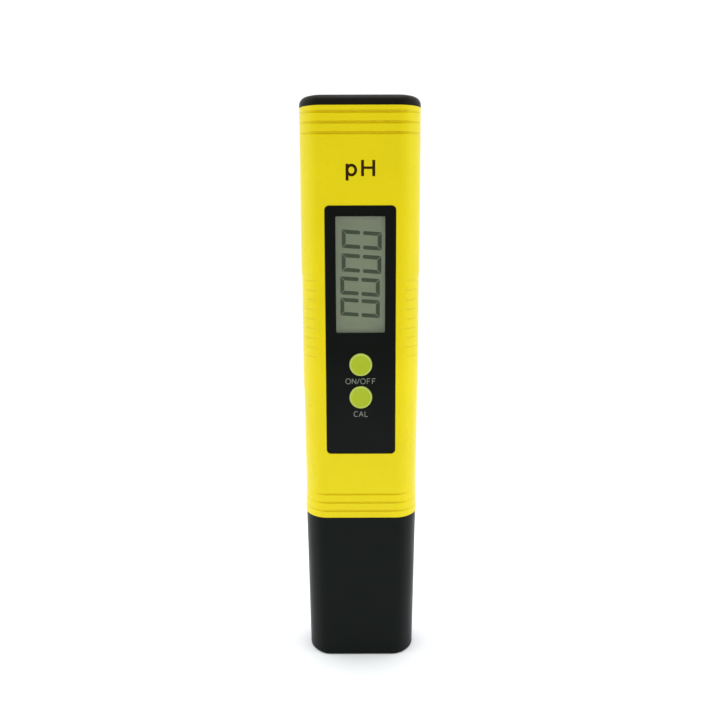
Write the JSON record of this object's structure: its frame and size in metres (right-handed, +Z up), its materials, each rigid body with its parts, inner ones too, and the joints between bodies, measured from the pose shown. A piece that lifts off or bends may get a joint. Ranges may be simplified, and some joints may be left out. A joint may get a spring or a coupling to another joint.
{
  "type": "digital pH meter",
  "caption": "Pen-type digital pH meter in a slim yellow case with a display, push buttons, black end caps, finger grooves and a glass electrode under a pull-off cap.",
  "frame": {"origin": "middle of the flat end of the protective cap, which the meter stands on", "axes": "+Z up along the meter towards the battery cap; X runs across it, with +X on the right for someone facing the display; -Y is the side with the display and the buttons, so +Y is its plain back"},
  "size_m": [0.0322, 0.0181, 0.1552],
  "materials": {
    "case_yellow": "satin",
    "cap_black": "satin",
    "panel_black": "gloss",
    "window_clear": "clear",
    "frame_black": "matte",
    "film_grey": "satin",
    "glass_clear": "clear",
    "film_silver": "satin",
    "zebra_rubber": "matte",
    "board_green": "satin",
    "screw_steel": "satin",
    "chip_black": "matte",
    "chip_tan": "matte",
    "crystal_silver": "satin",
    "switch_black": "matte",
    "button_green": "satin",
    "contact_nickel": "bright",
    "wire_red": "satin",
    "wire_black": "satin",
    "cell_steel": "bright",
    "carrier_black": "matte",
    "holder_black": "satin",
    "seal_rubber": "matte",
    "tube_clear": "clear",
    "bulb_glass": "clear",
    "seal_white": "matte",
    "junction_ceramic": "matte",
    "silver_wire": "satin",
    "potting_black": "satin",
    "cable_grey": "satin",
    "probe_steel": "satin",
    "thermistor_bead": "gloss",
    "lead_tinned": "satin"
  },
  "bodies": {
    "case": {"front_case": "case_yellow", "rear_case": "case_yellow", "face_panel": "panel_black", "display_window": "window_clear", "display_frame": "frame_black", "display_polarizer": "film_grey", "display_front_glass": "glass_clear", "display_rear_glass": "glass_clear", "display_reflector": "film_silver", "zebra_strips": "zebra_rubber", "circuit_board": "board_green", "board_screws": "screw_steel", "microcontroller": "chip_black", "amplifier_chip": "chip_black", "chip_components": "chip_tan", "clock_crystal": "crystal_silver", "power_switch_base": "switch_black", "power_switch_cover": "screw_steel", "calibrate_switch_base": "switch_black", "calibrate_switch_cover": "screw_steel", "positive_contact": "contact_nickel", "negative_contact": "contact_nickel", "positive_lead": "wire_red", "negative_lead": "wire_black", "electrode_holder": "holder_black", "holder_seal": "seal_rubber", "cap_seal": "seal_rubber", "electrode_tube": "tube_clear", "electrode_bulb": "bulb_glass", "electrode_end_seal": "seal_white", "reference_junction": "junction_ceramic", "sensing_wire": "silver_wire", "reference_wire": "silver_wire", "electrode_head": "potting_black", "electrode_cable": "cable_grey", "temperature_probe": "probe_steel", "thermistor": "thermistor_bead", "thermistor_leads": "lead_tinned"},
    "protective_cap": {"protective_cap": "cap_black"},
    "battery_drawer": {"battery_cap": "cap_black", "battery_cap_seal": "seal_rubber", "cell_carrier": "carrier_black", "button_cell_right": "cell_steel", "button_cell_left": "cell_steel"},
    "power_button": {"power_button": "button_green", "power_switch_plunger": "switch_black"},
    "calibrate_button": {"calibrate_button": "button_green", "calibrate_switch_plunger": "switch_black"}
  },
  "joints": [
    {"name": "protective_cap_slide", "type": "slide", "parent": "protective_cap", "child": "case", "axis": [0, 0, 1], "range_m": [0, 0.045]},
    {"name": "battery_drawer_slide", "type": "slide", "parent": "case", "child": "battery_drawer", "axis": [0, 0, 1], "range_m": [0, 0.03]},
    {"name": "power_button_press", "type": "slide", "parent": "case", "child": "power_button", "axis": [0, 1, 0], "range_m": [0, 0.00025], "stiffness_N_per_m": 1500, "springref_m": -0.0007},
    {"name": "calibrate_button_press", "type": "slide", "parent": "case", "child": "calibrate_button", "axis": [0, 1, 0], "range_m": [0, 0.00025], "stiffness_N_per_m": 1500, "springref_m": -0.0007}
  ]
}
